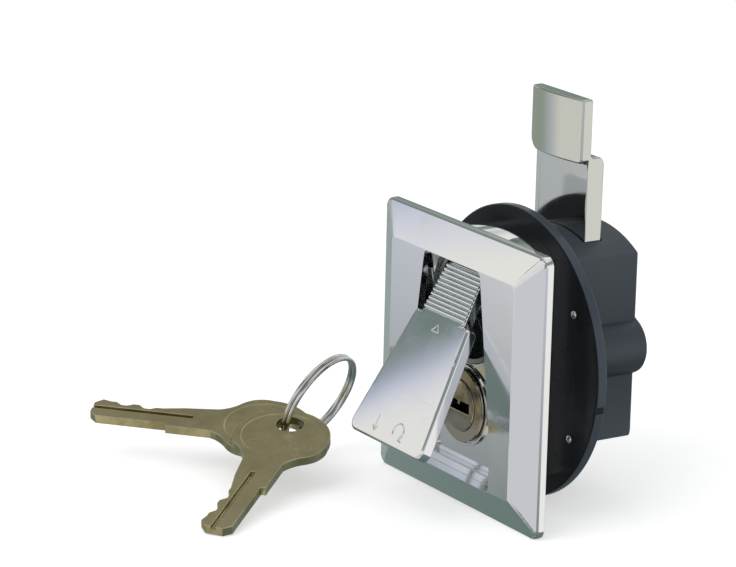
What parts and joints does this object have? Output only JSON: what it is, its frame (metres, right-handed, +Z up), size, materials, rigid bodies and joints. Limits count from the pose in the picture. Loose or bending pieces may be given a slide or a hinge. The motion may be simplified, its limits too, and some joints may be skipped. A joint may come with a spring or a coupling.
{
  "type": "flush lock",
  "caption": "Square flush lock with a lift-and-turn handle, a key cylinder, a flange behind the door, a sliding latch bolt and loose keys on a split ring.",
  "frame": {"origin": "centre of the bezel's seat, on the front face of the door panel", "axes": "+X to the right as seen from the front, +Y into the door, +Z up along the bolt"},
  "size_m": [0.0956, 0.0928, 0.0862],
  "materials": {
    "bezel_chrome": "polished",
    "handle_chrome": "polished",
    "bolt_chrome": "polished",
    "black_paint": "gloss",
    "slate_moulding": "satin",
    "nickel": "nickel plated",
    "steel": "zinc plated",
    "brass": "plain",
    "ring_steel": "nickel plated",
    "key_nickel": "nickel plated"
  },
  "bodies": {
    "base": {"bezel": "bezel_chrome", "rear_flange": "black_paint", "grip_pins": "steel", "rear_housing": "slate_moulding", "mounting_screws": "steel", "cylinder_shell": "nickel", "cylinder_clip": "steel", "bolt_spring": "steel"},
    "hub": {"turn_hub": "bezel_chrome", "pivot_pin": "steel", "friction_leaf": "steel", "crank_arm": "steel", "crank_pin": "steel", "crank_screw": "steel"},
    "lever": {"handle": "handle_chrome"},
    "bolt": {"latch_bolt": "bolt_chrome"},
    "plug": {"key_plug": "nickel", "wafer_tumblers": "brass", "locking_dog": "steel", "dog_screw": "steel"},
    "key_set": {"key_ring": "ring_steel"},
    "first_key": {"key_one": "key_nickel"},
    "second_key": {"key_two": "key_nickel"}
  },
  "joints": [
    {"name": "handle_turn", "type": "hinge", "parent": "base", "child": "hub", "pos_m": [0, 0, 0.0127], "axis": [0, 1, 0], "range_deg": [0, 90]},
    {"name": "handle_lift", "type": "hinge", "parent": "hub", "child": "lever", "pos_m": [0, 0.0031, 0.0127], "axis": [-1, 0, 0], "range_deg": [-29, 46]},
    {"name": "bolt_slide", "type": "slide", "parent": "base", "child": "bolt", "axis": [0, 0, -1], "range_m": [0, 0.00764], "stiffness_N_per_m": 300, "springref_m": -0.006, "deforming": ["bolt_spring"]},
    {"name": "plug_turn", "type": "hinge", "parent": "base", "child": "plug", "pos_m": [0, 0, -0.0088], "axis": [0, 1, 0], "range_deg": [-90, 0]},
    {"name": "key_set_lift", "type": "slide", "parent": "base", "child": "key_set", "axis": [0, 0, 1], "range_m": [0, 0.04]},
    {"name": "first_key_swing", "type": "hinge", "parent": "key_set", "child": "first_key", "pos_m": [-0.03327, -0.02415, -0.0207], "axis": [0.192, -0.143, 0.9709], "range_deg": [-25, 0]},
    {"name": "second_key_swing", "type": "hinge", "parent": "key_set", "child": "second_key", "pos_m": [-0.03029, -0.02478, -0.01897], "axis": [0.192, -0.143, 0.9709], "range_deg": [0, 20]}
  ],
  "couplings": [
    {"joint": "handle_turn", "follows": "bolt_slide", "rad_per_m": 205.69}
  ]
}
